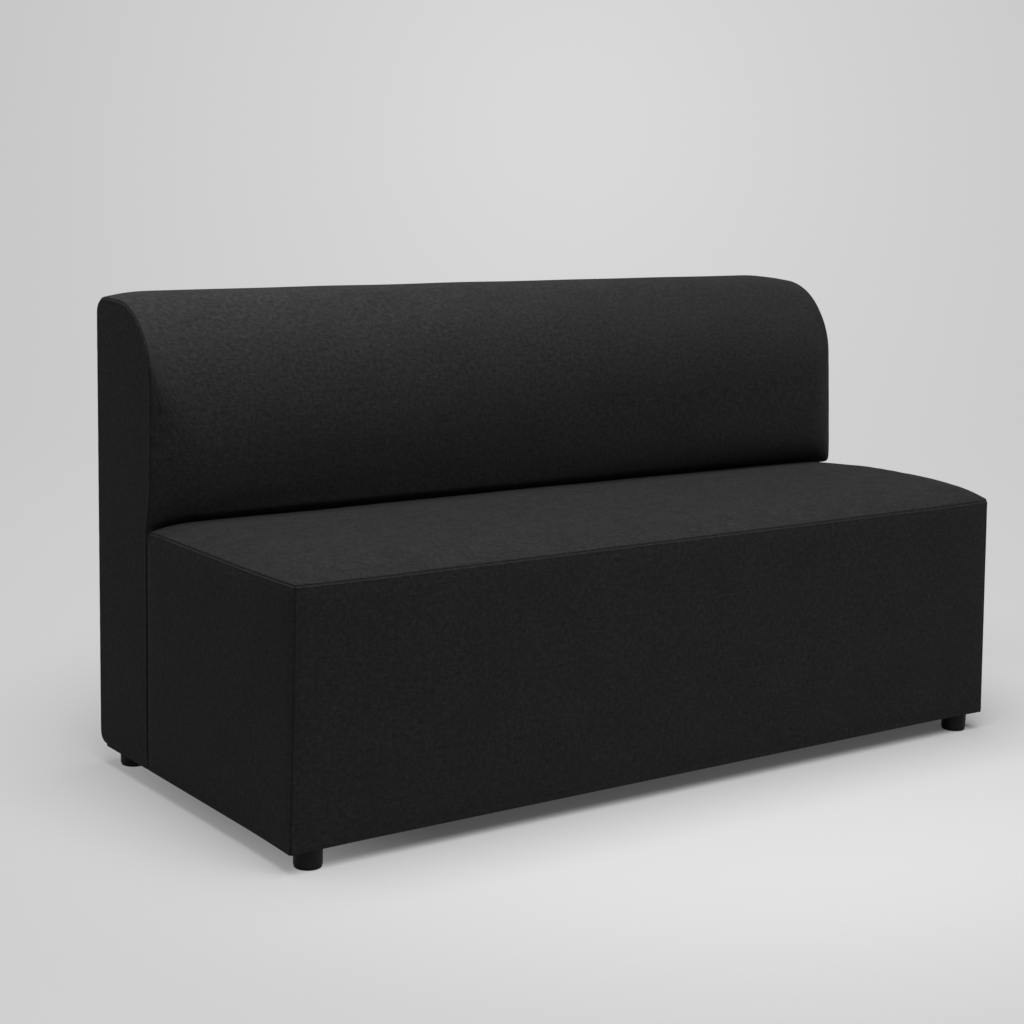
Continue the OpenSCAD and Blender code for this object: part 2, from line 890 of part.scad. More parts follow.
// A glide pad that stays still on the floor while its foot turns on the pin.
module foot_glide(x, y) {
    edge = 1;
    pad_r = foot_r - 1;
    color(plastic_color) translate([x, y, 0]) rotate_extrude($fn = 96) polygon([
        [0, 0], [pad_r - edge, 0], [pad_r, edge], [pad_r, glide_t], [stud_r, glide_t],
        [stud_r, pin_top], [0, pin_top]
    ]);
}

module foot_fl() {
    foot(-foot_x, foot_front_y);
}

module foot_fr() {
    foot(foot_x, foot_front_y);
}

module foot_rl() {
    foot(-foot_x, foot_rear_y);
}

module foot_rr() {
    foot(foot_x, foot_rear_y);
}

module foot_stud_fl() {
    foot_stud(-foot_x, foot_front_y);
}

module foot_stud_fr() {
    foot_stud(foot_x, foot_front_y);
}

module foot_stud_rl() {
    foot_stud(-foot_x, foot_rear_y);
}

module foot_stud_rr() {
    foot_stud(foot_x, foot_rear_y);
}

module foot_glide_fl() {
    foot_glide(-foot_x, foot_front_y);
}

module foot_glide_fr() {
    foot_glide(foot_x, foot_front_y);
}

module foot_glide_rl() {
    foot_glide(-foot_x, foot_rear_y);
}

module foot_glide_rr() {
    foot_glide(foot_x, foot_rear_y);
}

seat_cover();
seat_wadding();
seat_foam();
seat_front_foam();
seat_left_foam();
seat_right_foam();
seat_insulator();
seat_springs();
spring_clips();
seat_front_board();
seat_rear_board();
seat_left_board();
seat_right_board();
seat_top_rail_front();
seat_top_rail_rear();
seat_base_rail_front();
seat_base_rail_rear();
seat_base_rail_left();
seat_base_rail_right();
seat_post_front_left();
seat_post_front_right();
seat_post_rear_left();
seat_post_rear_right();
seat_partition_left();
seat_partition_right();
seat_dust_cover();
back_cover();
back_foam();
back_left_foam();
back_right_foam();
back_rear_foam();
back_end_left();
back_end_right();
back_rib_left();
back_rib_right();
back_top_rail();
back_middle_rail();
back_base_rail_front();
back_base_rail_rear();
back_front_board();
back_rear_board();
back_dust_cover();
joining_bolts();
joining_washers();
joining_nuts();
cover_staples();
foot_tee_nuts();
foot_fl();
foot_fr();
foot_rl();
foot_rr();
foot_stud_fl();
foot_stud_fr();
foot_stud_rl();
foot_stud_rr();
foot_glide_fl();
foot_glide_fr();
foot_glide_rl();
foot_glide_rr();
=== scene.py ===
import json
import math

import bpy
import numpy as np
from mathutils import Matrix, Vector


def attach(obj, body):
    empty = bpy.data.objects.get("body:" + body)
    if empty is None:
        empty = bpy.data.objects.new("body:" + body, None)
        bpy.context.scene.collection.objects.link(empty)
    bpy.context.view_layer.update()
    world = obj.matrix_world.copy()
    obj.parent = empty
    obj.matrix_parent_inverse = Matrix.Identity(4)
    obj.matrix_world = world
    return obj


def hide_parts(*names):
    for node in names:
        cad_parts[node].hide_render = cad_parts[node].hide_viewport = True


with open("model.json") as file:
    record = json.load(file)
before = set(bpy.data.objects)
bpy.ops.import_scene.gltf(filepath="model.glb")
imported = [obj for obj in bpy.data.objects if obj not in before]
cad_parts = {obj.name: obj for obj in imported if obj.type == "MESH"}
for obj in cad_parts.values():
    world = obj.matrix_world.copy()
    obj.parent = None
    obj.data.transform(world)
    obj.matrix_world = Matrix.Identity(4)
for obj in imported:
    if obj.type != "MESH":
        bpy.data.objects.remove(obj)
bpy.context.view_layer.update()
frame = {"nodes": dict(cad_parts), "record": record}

MM = 0.001

# Sizes of the sofa, in millimetres, as its solids have them. X runs along it and its front faces -Y. The
# seat and the back meet near Y 145. The seat's crown rises from its seams, and the back's face leans and
# swells between its ends. Last come the radii of the back's section, the hems and the joint.
HALF_W = 750.0
FRONT_Y, REAR_Y = -330.0, 330.0
SEAT_REAR_Y, BACK_FRONT_Y = 144.5, 145.5
FOOT_H, SEAT_H, BACK_H = 35.0, 440.0, 808.0
CROWN, CROWN_REACH, CROWN_REAR_REACH = 13.0, 100.0, 14.0
LEAN, FRONT_SWELL, TOP_SWELL, SWELL_REACH = 15.5, 18.0, 9.0, 80.0
TOP_FRONT_R, TOP_REAR_R, LOW_REAR_R = 125.0, 28.0, 22.0
HEM_R, JOINT_R = 8.0, 3.0

# How the covers are made: the pitch of their mesh, the roll of fabric on both sides of a seam, and where
# the mesh lines run close to a seam, to the joint between the blocks and to the hem.
PITCH = 15.0
ROLL_R = 5.0
NEAR_SEAM = [0.9, 2.2, 4.0, 6.5, 10.0]
BESIDE_SEAM = NEAR_SEAM + [16.0]
NEAR_JOINT = [1.5, 3.0, 7.0, 14.0]
NEAR_HEM = [1.6, 4.0, 8.0, 14.0]
# How far from a seam a point is held, and how far the pressure may move the others: on the seat's top, on
# the back, on the other faces, and inwards.
HELD = 7.0
SLACK_TOP, SLACK_BACK, SLACK_SIDE, SINKS = 5.0, 3.0, 1.6, -0.3

# The seat's crown between its seams: what its middle gains, and the power that moves its crest forwards.
MIDDLE_RISE, CREST = 1.2, 0.72
# The seat's top dips towards the back: how far, how much further at the right end, and from where on.
DIP, DIP_RIGHT, DIP_FROM, DIP_REACH = 2.2, 3.0, -60.0, 170.0
# How far the sides of both blocks swell, and the reach of the end panels' swell from their seam.
SIDE_SWELL, PANEL_SWELL, PANEL_REACH = 0.8, 0.6, 60.0

# The lowest part of the back's face rolls over the seat, and the rest leans above it.
ROLL_OUT, ROLL_H, LEAN_H = 21.0, 12.0, 120.0
# How much taller the rounded top edge is between the ends than at them, on the left and on the right, and
# where along the sofa it changes from one to the other.
TALLER, TALLER_RIGHT, TALLER_FROM, TALLER_REACH = 104.0, 55.0, -300.0, 900.0

# The right end is fuller than the left: how far the back's face comes forward there, over what height,
# how quickly it does so from the crease up, and how far the back's top drops.
RIGHT_OUT, RIGHT_OUT_H, RIGHT_OUT_REACH = 26.0, 300.0, 50.0
TOP_DROP, RIGHT_DROP = 0.7, 3.9
# Close to its right end the back's face leans within this height, and comes forward that much quicker.
TIGHT_FROM, TIGHT_REACH, TIGHT_LEAN_H, TIGHTER = 680.0, 70.0, 30.0, 40.0
# From a place along the sofa on, the seat's top rises more quickly from the end seam and from the front
# seam, and rises further.
RIGHT_FROM, RIGHT_REACH, RIGHT_QUICKER, RIGHT_RISE = 100.0, 38.0, 35.0, 9.0

# The seat's front corners stand out at the bottom and draw in towards the top. Its rear corners are rounded
# at the joint, over a reach from the ends.
CORNER_OUT, CORNER_IN, CORNER_REACH = 4.0, 7.0, 170.0
REAR_TOP_R, REAR_TOP_REACH = 17.0, 60.0

# The photograph's viewpoint: its place in metres, its turns in radians and its film and lens in millimetres.
CAMERA_AT = (-2.2401, -2.9040, 1.1194)
YAW, PITCH_DOWN, ROLL = 0.6306, 0.1868, 0.0274
FILM, LENS = 36, 73.57


def eased(u):
    """A smooth step from 0 to 1."""
    u = np.clip(u, 0, 1)
    return u * u * (3 - 2 * u)


def rise(distance, reach, power):
    """Share of a full rise that is reached at a distance from a seam."""
    return 1 - (1 - np.clip(distance / reach, 0, 1)) ** power


# Camera


def place_camera():
    """The photograph's viewpoint: where it stands, its turn, its downward pitch and its slight roll."""
    level = math.cos(PITCH_DOWN)
    forward = Vector((math.sin(YAW) * level, math.cos(YAW) * level, -math.sin(PITCH_DOWN)))
    right = Vector((math.cos(YAW), -math.sin(YAW), 0))
    up = right.cross(forward)
    rolled_right = right * math.cos(ROLL) + up * math.sin(ROLL)
    rolled_up = up * math.cos(ROLL) - right * math.sin(ROLL)
    camera = bpy.data.objects.new("camera", bpy.data.cameras.new("camera"))
    camera.data.sensor_width = FILM
    camera.data.lens = LENS
    turn = Matrix((rolled_right, rolled_up, -forward)).transposed().to_4x4()
    camera.matrix_world = Matrix.Translation(CAMERA_AT) @ turn
    bpy.context.scene.collection.objects.link(camera)
    bpy.context.scene.camera = camera


# Node materials


class Nodes:
    """A short way to write a material's nodes."""

    def __init__(self, name):
        self.material = bpy.data.materials.new(name)
        self.material.use_nodes = True
        self.tree = self.material.node_tree
        self.tree.nodes.clear()
        self.shader = self.add("ShaderNodeBsdfPrincipled")
        output = self.add("ShaderNodeOutputMaterial")
        self.link(self.shader.outputs[0], output.inputs["Surface"])

    def add(self, kind, **values):
        node = self.tree.nodes.new(kind)
        for key, value in values.items():
            setattr(node, key, value)
        return node

    def link(self, source, target):
        self.tree.links.new(source, target)

    def feed(self, node, **inputs):
        """Sets or links a node's inputs by name, with _ for a space."""
        for key, value in inputs.items():
            socket = node.inputs[int(key[2:]) if key.startswith("n_") else key.replace("_", " ")]
            if isinstance(value, bpy.types.NodeSocket):
                self.link(value, socket)
            else:
                socket.default_value = value
        return node

    def math(self, operation, a, b=0.0, clamp=False):
        node = self.add("ShaderNodeMath", operation=operation, use_clamp=clamp)
        return self.feed(node, n_0=a, n_1=b).outputs[0]

    def scaled(self, vector, scale):
        node = self.add("ShaderNodeMapping")
        return self.feed(node, Vector=vector, Scale=scale).outputs[0]

    def noise(self, vector, scale, detail=2.0, roughness=0.5):
        node = self.add("ShaderNodeTexNoise")
        return self.feed(node, Vector=vector, Scale=scale, Detail=detail, Roughness=roughness).outputs[0]

    def ramp(self, value, stops, easing="LINEAR"):
        """A colour ramp; stops are (position, grey or colour)."""
        node = self.add("ShaderNodeValToRGB")
        node.color_ramp.interpolation = easing
        elements = node.color_ramp.elements
        while len(elements) < len(stops):
            elements.new(0.5)
        for element, (position, colour) in zip(elements, stops):
            element.position = position
            shade = (colour,) * 3 if isinstance(colour, (int, float)) else colour
            element.color = (*shade, 1)
        return self.feed(node, Fac=value).outputs[0]

    def mix(self, factor, a, b, kind="MIX"):
        node = self.add("ShaderNodeMix", data_type="RGBA", blend_type=kind)
        colours = [s for s in node.inputs if s.type == "RGBA"]
        self.feed(node, n_0=factor)
        for socket, value in zip(colours, (a, b)):
            if isinstance(value, bpy.types.NodeSocket):
                self.link(value, socket)
            else:
                socket.default_value = (*value, 1)
        return next(s for s in node.outputs if s.type == "RGBA")

    def bump(self, height, strength, distance, normal=None):
        node = self.add("ShaderNodeBump")
        self.feed(node, Height=height, Strength=strength, Distance=distance)
        if normal is not None:
            self.link(normal, node.inputs["Normal"])
        return node.outputs[0]

    def place(self):
        """The object's own coordinates."""
        return self.add("ShaderNodeTexCoord").outputs["Object"]

    def split(self, vector):
        """A vector's three parts."""
        node = self.add("ShaderNodeSeparateXYZ")
        self.link(vector, node.inputs[0])
        return node.outputs

    def distance(self, vector, centre):
        node = self.add("ShaderNodeVectorMath", operation="DISTANCE")
        self.link(vector, node.inputs[0])
        node.inputs[1].default_value = centre
        return node.outputs["Value"]

    def bands(self, direction, **inputs):
        """A texture of wavy bands."""
        node = self.add("ShaderNodeTexWave", wave_type="BANDS", bands_direction=direction)
        return self.feed(node, **inputs).outputs

    def cells(self, **inputs):
        """A texture of cells around scattered points."""
        return self.feed(self.add("ShaderNodeTexVoronoi", feature="F1"), **inputs).outputs

    def surface(self, **inputs):
        self.feed(self.shader, **inputs)
        return self.material


# the distance between the threads of the cloth, in metres
THREAD_PITCH = 0.0011


def woven(name, dark, mid, light, sheen, painted_light=0.0):
    """A matte woven cloth: fine plain weave, short slubs both ways, a heathered ground and sparse lint. Its
    threads follow the mesh's own cloth coordinates, in metres. Its last argument paints a highlight into the
    cloth: lighter by its height and most at the left, as on the back's rounded top edge, where light falls."""
    n = Nodes(name)
    coordinates = n.add("ShaderNodeUVMap", uv_map="cloth").outputs[0]
    u, v, _ = n.split(coordinates)
    thread = 2 * math.pi / THREAD_PITCH
    warp = n.math("SINE", n.math("MULTIPLY", u, thread))
    weft = n.math("SINE", n.math("MULTIPLY", v, thread))
    weave = n.math("MULTIPLY_ADD", n.math("MULTIPLY", warp, weft), 0.5)
    weave.node.inputs[2].default_value = 0.5
    along = n.noise(n.scaled(coordinates, (70, 480, 1)), 1.0, 3.0, 0.6)
    across = n.noise(n.scaled(coordinates, (480, 70, 1)), 1.0, 3.0, 0.6)
    slubs = n.math(
        "ADD", n.ramp(along, [(0.54, 0.0), (0.66, 1.0)]), n.ramp(across, [(0.56, 0.0), (0.68, 1.0)])
    )
    gaps = n.math(
        "ADD", n.ramp(along, [(0.34, 1.0), (0.46, 0.0)]), n.ramp(across, [(0.32, 1.0), (0.44, 0.0)])
    )
    flecks = n.ramp(n.noise(coordinates, 210.0, 1.0, 0.5), [(0.24, 1.0), (0.32, 0.0)])
    grain = n.noise(coordinates, 650.0, 2.0, 0.7)
    heather = n.noise(coordinates, 130.0, 4.0, 0.65)
    cloudy = n.noise(coordinates, 9.0, 3.0, 0.55)
    ground = n.mix(n.ramp(heather, [(0.38, 0.0), (0.62, 1.0)]), dark, mid)
    ground = n.mix(n.math("MULTIPLY", slubs, 0.36, True), ground, light)
    ground = n.mix(n.math("MULTIPLY", gaps, 0.5, True), ground, dark)
    ground = n.mix(n.math("MULTIPLY", flecks, 0.6, True), ground, [c * 0.4 for c in dark])
    ground = n.mix(0.35, ground, n.ramp(grain, [(0.3, 0.25), (0.7, 0.8)]), "OVERLAY")
    ground = n.mix(0.5, ground, n.ramp(cloudy, [(0.3, 0.42), (0.7, 0.58)]), "OVERLAY")
    # the faces that look up are more strongly mottled, lighter and darker at random: painted unevenness of
    # their sheen
    upwards = n.split(n.add("ShaderNodeNewGeometry").outputs["Normal"])[2]
    facing_up = n.ramp(upwards, [(0.55, 0.0), (0.95, 1.0)])
    mottle = n.ramp(n.noise(coordinates, 34.0, 5.0, 0.72), [(0.36, 0.36), (0.64, 0.64)])
    ground = n.mix(n.math("MULTIPLY", facing_up, 0.7), ground, mottle, "OVERLAY")
    # painted highlight: how much lighter a place is painted, most at the left and along the top edge
    left = n.ramp(n.math("ADD", n.math("MULTIPLY", u, 0.5), 0.5), [(0.2, 1.0), (0.72, 0.0)])
    height = n.ramp(n.math("MULTIPLY", v, 0.5), [(0.3, 0.0), (0.44, 1.0), (0.54, 1.0), (0.6, 0.0)])
    gain = n.math("ADD", n.math("MULTIPLY", n.math("MULTIPLY", left, height), painted_light), 1.0)
    ground = n.mix(1.0, ground, gain, "MULTIPLY")
    specks = n.cells(Vector=coordinates, Scale=26.0)
    lint = n.ramp(specks["Distance"], [(0.012, 1.0), (0.022, 0.0)])
    rare = n.ramp(specks["Color"], [(0.7, 0.0), (0.78, 0.6)])
    ground = n.mix(n.math("MULTIPLY", lint, rare), ground, [c * 3.2 for c in light])
    relief = n.math("ADD", n.math("MULTIPLY", weave, 0.5), n.math("MULTIPLY", slubs, 0.35))
    uneven = n.bump(n.math("SUBTRACT", heather, n.math("MULTIPLY", flecks, 0.3)), 0.8, 0.0014)
    normal = n.bump(relief, 0.5, 0.0006, uneven)
    return n.surface(
        Base_Color=ground,
        Roughness=0.92,
        Specular_IOR_Level=0.17,
        Sheen_Weight=sheen,
        Sheen_Roughness=0.45,
        Sheen_Tint=(0.8, 0.8, 0.8, 1),
        Normal=normal,
    )


def moulded(name, colour, roughness):
    """Moulded plastic with a fine grain, a little handling polish and faint marks."""
    n = Nodes(name)
    place = n.place()
    grain = n.noise(place, 2600.0, 2.0, 0.5)
    polish = n.noise(place, 60.0, 3.0, 0.6)
    tint = n.ramp(polish, [(0.3, [c * 0.8 for c in colour]), (0.7, [c * 1.3 for c in colour])])
    gloss = n.ramp(polish, [(0.3, roughness - 0.07), (0.7, roughness + 0.07)])
    normal = n.bump(grain, 0.25, 0.0002)
    return n.surface(Base_Color=tint, Roughness=gloss, Specular_IOR_Level=0.16, Normal=normal)


def timber(name, pale, dark):
    """Sawn softwood with its grain along X, rings and a few darker streaks."""
    n = Nodes(name)
    place = n.place()
    stretched = n.scaled(place, (1, 12, 12))
    rings = n.bands("Y", Vector=stretched, Scale=3.5, Distortion=7.0, Detail=3.0, Detail_Scale=1.4)
    fibres = n.noise(n.scaled(place, (25, 900, 900)), 1.0, 3.0, 0.6)
    tint = n.mix(n.ramp(rings["Fac"], [(0.2, 0.0), (0.9, 1.0)]), pale, dark)
    tint = n.mix(0.3, tint, n.ramp(fibres, [(0.3, 0.3), (0.7, 0.7)]), "OVERLAY")
    return n.surface(Base_Color=tint, Roughness=0.72, Normal=n.bump(fibres, 0.3, 0.0004))


def plywood(name, pale, dark):
    """Birch plywood: a faint face grain, with its layers on the edges."""
    n = Nodes(name)
    place = n.place()
    grain = n.noise(n.scaled(place, (6, 6, 110)), 1.0, 5.0, 0.65)
    layers = n.bands("DIAGONAL", Vector=place, Scale=190.0, Distortion=0.6, Detail=1.0)
    tint = n.mix(n.ramp(grain, [(0.35, 0.0), (0.7, 1.0)]), pale, dark)
    tint = n.mix(0.14, tint, layers["Color"], "MULTIPLY")
    return n.surface(Base_Color=tint, Roughness=0.66, Normal=n.bump(grain, 0.2, 0.0003))


def foamed(name, pale, dark):
    """Open-cell foam: small cells over a slightly uneven colour."""
    n = Nodes(name)
    place = n.place()
    cells = n.cells(Vector=place, Scale=700.0)
    uneven = n.noise(place, 22.0, 3.0, 0.6)
    tint = n.ramp(uneven, [(0.3, dark), (0.7, pale)])
    tint = n.mix(0.4, tint, n.ramp(cells["Distance"], [(0.1, 0.35), (0.6, 0.65)]), "OVERLAY")
    normal = n.bump(cells["Distance"], 0.6, 0.0006)
    return n.surface(Base_Color=tint, Roughness=0.95, Specular_IOR_Level=0.1, Normal=normal)


def fibrous(name, pale, dark, scale):
    """Wadding, felt or a bonded cloth: matted fibres that cross each other."""
    n = Nodes(name)
    place = n.place()
    one = n.noise(n.scaled(place, (1, 7, 3)), scale, 4.0, 0.7)
    other = n.noise(n.scaled(place, (7, 1, 3)), scale, 4.0, 0.7)
    mat = n.math("MULTIPLY", n.math("ADD", one, other), 0.5)
    tint = n.ramp(mat, [(0.35, dark), (0.65, pale)])
    normal = n.bump(mat, 0.5, 0.0006)
    return n.surface(
        Base_Color=tint, Roughness=0.95, Specular_IOR_Level=0.1, Sheen_Weight=0.15, Normal=normal
    )


def metal(name, colour, roughness):
    """Drawn or plated steel: brushed streaks and slight staining."""
    n = Nodes(name)
    place = n.place()
    streaks = n.noise(n.scaled(place, (40, 1500, 1500)), 1.0, 3.0, 0.6)
    stain = n.noise(place, 35.0, 4.0, 0.6)
    tint = n.ramp(stain, [(0.3, [c * 0.75 for c in colour]), (0.7, colour)])
    gloss = n.ramp(streaks, [(0.3, roughness - 0.08), (0.7, roughness + 0.1)])
    return n.surface(Base_Color=tint, Metallic=1.0, Roughness=gloss, Normal=n.bump(streaks, 0.15, 0.0002))


# the cloth's dark, middle and light blacks
BLACKS = (0.0092, 0.0092, 0.0092), (0.0172, 0.0172, 0.0173), (0.034, 0.034, 0.0342)
UPHOLSTERY = woven("upholstery", *BLACKS, 0.06)
# the back's cloth has a painted highlight, up to 1.7 times lighter towards its upper left, where light falls
BACK_UPHOLSTERY = woven("upholstery_back", *BLACKS, 0.06, painted_light=0.7)

# the finish of each material slot, for the solids that stay as they are
SLOT_FINISH = {
    "cambric": fibrous("cambric", (0.022, 0.022, 0.023), (0.009, 0.009, 0.01), 420.0),
    "foam": foamed("foam", (0.86, 0.8, 0.55), (0.78, 0.7, 0.44)),
    "wadding": fibrous("wadding", (0.88, 0.88, 0.86), (0.7, 0.7, 0.68), 160.0),
    "felt": fibrous("felt", (0.42, 0.42, 0.45), (0.22, 0.22, 0.25), 240.0),
    "spring_steel": metal("spring_steel", (0.32, 0.33, 0.36), 0.34),
    "zinc_steel": metal("zinc_steel", (0.66, 0.67, 0.7), 0.3),
    "plywood": plywood("plywood", (0.72, 0.56, 0.36), (0.56, 0.41, 0.24)),
    "timber": timber("timber", (0.78, 0.6, 0.38), (0.6, 0.42, 0.23)),
    "foot_plastic": moulded("foot_plastic", (0.0065, 0.0065, 0.0067), 0.55),
    "glide_plastic": moulded("glide_plastic", (0.003, 0.003, 0.0031), 0.5),
}


def finish_solids():
    """Gives each solid its slot's finish. The covers' solids aren't shown, but are never left bare."""
    for part in frame["record"]["subparts"]:
        material = SLOT_FINISH.get(part["material_slot"], UPHOLSTERY)
        mesh = frame["nodes"][part["node"]].data
        if not mesh.materials:
            mesh.materials.append(material)
        for i in range(len(mesh.materials)):
            mesh.materials[i] = material


# Covers


# A seam's fine valley and the low ridge beside it: their heights and widths, and the ridge's place.
VALLEY, VALLEY_W = 1.2, 0.7
RIDGE, RIDGE_W, RIDGE_AT = 0.5, 1.6, 3.2


def edge(s, radius, seam):
    """The section across an edge where two faces meet, by a point's distance s along its own face from the
    edge: how far in from the other face it lies, and how far in from its own. A seam adds its valley and
    its ridge, where the turned-in fabric lies below."""
    turn = math.pi / 4 * np.clip(1 - s / radius, 0, 1)
    along = np.where(s < radius, radius - radius * np.sin(turn), s)
    inset = radius - radius * np.cos(turn)
    valley = VALLEY * np.exp(-((s / VALLEY_W) ** 2)) if seam else 0
    ridge = RIDGE * np.exp(-(((s - RIDGE_AT) / RIDGE_W) ** 2)) if seam else 0
    return along + valley, inset + valley - ridge


def line_places(low, high, near_low, near_high):
    """Where the lines of a cover's mesh run between two edges: close together at the edges."""
    first = [low, *[low + s for s in near_low]]
    last = [*[high - s for s in reversed(near_high)], high]
    between = last[0] - first[-1]
    count = max(1, round(between / PITCH))
    return np.array(first + [first[-1] + between * i / count for i in range(1, count)] + last)


def travelled(line):
    """How far along a line each of its points lies."""
    return np.concatenate([[0], np.cumsum(np.linalg.norm(np.diff(line, axis=0), axis=1))])


def make_mesh(name, points, faces, cloth, material):
    """An object from points in millimetres, with one cloth coordinate in metres for each face corner."""
    mesh = bpy.data.meshes.new(name)
    mesh.from_pydata([tuple(p) for p in points * MM], [], faces)
    layer = mesh.uv_layers.new(name="cloth")
    layer.data.foreach_set("uv", (np.array(cloth) * MM).astype(np.float32).ravel())
    mesh.materials.append(material)
    mesh.polygons.foreach_set("use_smooth", np.ones(len(mesh.polygons), bool))
    mesh.update()
    made = bpy.data.objects.new(name, mesh)
    bpy.context.scene.collection.objects.link(made)
    return made


def read_points(piece, kind):
    """What a piece's points have of a kind, three numbers each."""
    found = np.zeros(len(piece.data.vertices) * 3, np.float32)
    piece.data.vertices.foreach_get(kind, found)
    return found.reshape(-1, 3).astype(float)


def positions(piece):
    """A piece's points, in millimetres."""
    return read_points(piece, "co") / MM


def normals(piece):
    return read_points(piece, "normal")


def set_positions(piece, points):
    piece.data.vertices.foreach_set("co", (points * MM).astype(np.float32).ravel())
    piece.data.update()


def applied(piece):
    """Turns what a piece's modifiers make into its mesh."""
    graph = bpy.context.evaluated_depsgraph_get()
    mesh = bpy.data.meshes.new_from_object(piece.evaluated_get(graph), depsgraph=graph)
    old = piece.data
    piece.modifiers.clear()
    piece.data = mesh
    bpy.data.meshes.remove(old)


# The cloth of the simulation, and how many frames it runs for.
CLOTH = {
    "quality": 6,
    "mass": 0.35,
    "air_damping": 2.0,
    "tension_stiffness": 22,
    "compression_stiffness": 22,
    "shear_stiffness": 8,
    "bending_stiffness": 1.5,
    "shrink_min": -0.004,
    "use_pressure": True,
    "uniform_pressure_force": 4.0,
}
FRAMES = 20
SEAT_SEED, BACK_SEED = 11, 23


def puffed(piece, held, slack):
    """Lets pressure swell the cover between its seams, as cloth. Held points stay, and the others move
    by up to slack millimetres, but hardly inwards, where the foam holds the cloth up."""
    rest, outward = positions(piece), normals(piece)
    group = piece.vertex_groups.new(name="held")
    for i in np.nonzero(held)[0]:
        group.add([int(i)], 1.0, "REPLACE")
    cloth = piece.modifiers.new("cloth", "CLOTH")
    for key, value in CLOTH.items():
        setattr(cloth.settings, key, value)
    cloth.settings.vertex_group_mass = group.name
    cloth.settings.effector_weights.gravity = 0
    cloth.point_cache.frame_start = 1
    cloth.point_cache.frame_end = FRAMES
    scene = bpy.context.scene
    for step in range(1, FRAMES + 1):
        scene.frame_set(step)
    applied(piece)
    scene.frame_set(1)
    moved = positions(piece) - rest
    length = np.linalg.norm(moved, axis=1)
    limit = slack * np.tanh(length / np.maximum(slack, 1e-6))
    moved *= (limit / np.maximum(length, 1e-9))[:, None]
    moved += outward * np.maximum(SINKS * np.minimum(slack, 1) - (moved * outward).sum(1), 0)[:, None]
    set_positions(piece, rest + moved)


def waves(points, lengths, seed):
    """A smooth, repeatable unevenness between about -1 and 1, with a few waves of each length."""
    each, usual_peak = 5, 1.6
    random = np.random.default_rng(seed)
    total = np.zeros(len(points))
    for length in lengths:
        for _ in range(each):
            direction = random.normal(size=3)
            direction /= np.linalg.norm(direction)
            total += np.sin(points @ direction * 2 * math.pi / length + random.uniform(0, 2 * math.pi))
    return total / (usual_peak * math.sqrt(each * len(lengths)))


# The unevenness of a cover: its height and the lengths of its waves, for the broad swells and for the short
# puckers.
SWELLS, SWELL_LENGTHS = 0.55, (520, 260, 150)
PUCKERS, PUCKER_LENGTHS = 0.22, (38, 26)


def settled(piece, from_seam, seed):
    """Subdivides the cover once and gives it the slight unevenness of cloth pulled over foam, with short
    puckers beside its seams. from_seam gives a point's distance from the nearest seam."""
    subdivide = piece.modifiers.new("finer", "SUBSURF")
    subdivide.levels = subdivide.render_levels = 1
    applied(piece)
    points, outward = positions(piece), normals(piece)
    distance = from_seam(points)
    broad = SWELLS * waves(points, SWELL_LENGTHS, seed) * eased((distance - 8) / 70)
    pucker = PUCKERS * waves(points, PUCKER_LENGTHS, seed + 1)
    pucker = pucker * eased(distance / 6) * np.exp(-distance / 22)
    set_positions(piece, points + outward * (broad + pucker)[:, None])


# The seat's cover is a box of mesh lines that is bent into shape. Each side's cloth runs along two axes.
TOP, BOTTOM, FRONT, REAR, LEFT, RIGHT = range(6)
CLOTH_AXES = {TOP: (0, 1), BOTTOM: (0, 1), FRONT: (0, 2), REAR: (0, 2), LEFT: (1, 2), RIGHT: (1, 2)}


def box_mesh(xs, ys, zs):
    """The lattice of a box's six sides: its points as [x, y, z] places, its faces, and each face's side."""
    index, points, faces, sides = {}, [], [], []

    def at(i, j, k):
        if (i, j, k) not in index:
            index[i, j, k] = len(points)
            points.append((xs[i], ys[j], zs[k]))
        return index[i, j, k]

    nx, ny, nz = len(xs) - 1, len(ys) - 1, len(zs) - 1

    def add(side, a, b, c, d):
        faces.append([at(*a), at(*b), at(*c), at(*d)])
        sides.append(side)

    for i in range(nx):
        for j in range(ny):
            add(BOTTOM, (i, j, 0), (i, j + 1, 0), (i + 1, j + 1, 0), (i + 1, j, 0))
            add(TOP, (i, j, nz), (i + 1, j, nz), (i + 1, j + 1, nz), (i, j + 1, nz))
    for i in range(nx):
        for k in range(nz):
            add(FRONT, (i, 0, k), (i + 1, 0, k), (i + 1, 0, k + 1), (i, 0, k + 1))
            add(REAR, (i, ny, k), (i, ny, k + 1), (i + 1, ny, k + 1), (i + 1, ny, k))
    for j in range(ny):
        for k in range(nz):
            add(LEFT, (0, j, k), (0, j, k + 1), (0, j + 1, k + 1), (0, j + 1, k))
            add(RIGHT, (nx, j, k), (nx, j + 1, k), (nx, j + 1, k + 1), (nx, j, k + 1))
    return np.array(points), faces, sides


def right_share(x, start=-200.0):
    """From 0 at a place along the sofa to 1 at its right end."""
    return eased((np.asarray(x) - start) / (HALF_W - start))


def joined(*shares):
    """One share out of several: 1 where all of them are 1, and near the least of them elsewhere."""
    total = sum(np.maximum(share, 1e-3) ** -3 for share in shares)
    return (total - (len(shares) - 1)) ** (-1 / 3)


def crown(x, y):
    """Height of the seat's top over its seam."""
    right = right_share(x, RIGHT_FROM)
    ends = rise(HALF_W - np.abs(x), CROWN_REACH - (CROWN_REACH - RIGHT_REACH) * right, 3)
    front = rise(y - FRONT_Y, CROWN_REACH - RIGHT_QUICKER * right, 3)
    rear = rise(SEAT_REAR_Y - y, CROWN_REAR_REACH, 2)
    middle = np.sin(math.pi * np.clip((y - FRONT_Y) / (SEAT_REAR_Y - FRONT_Y), 0, 1) ** CREST)
    dip = (DIP + DIP_RIGHT * right) * eased((y - DIP_FROM) / DIP_REACH)
    return (CROWN + (MIDDLE_RISE + RIGHT_RISE * right) * middle - dip) * joined(ends, front, rear)


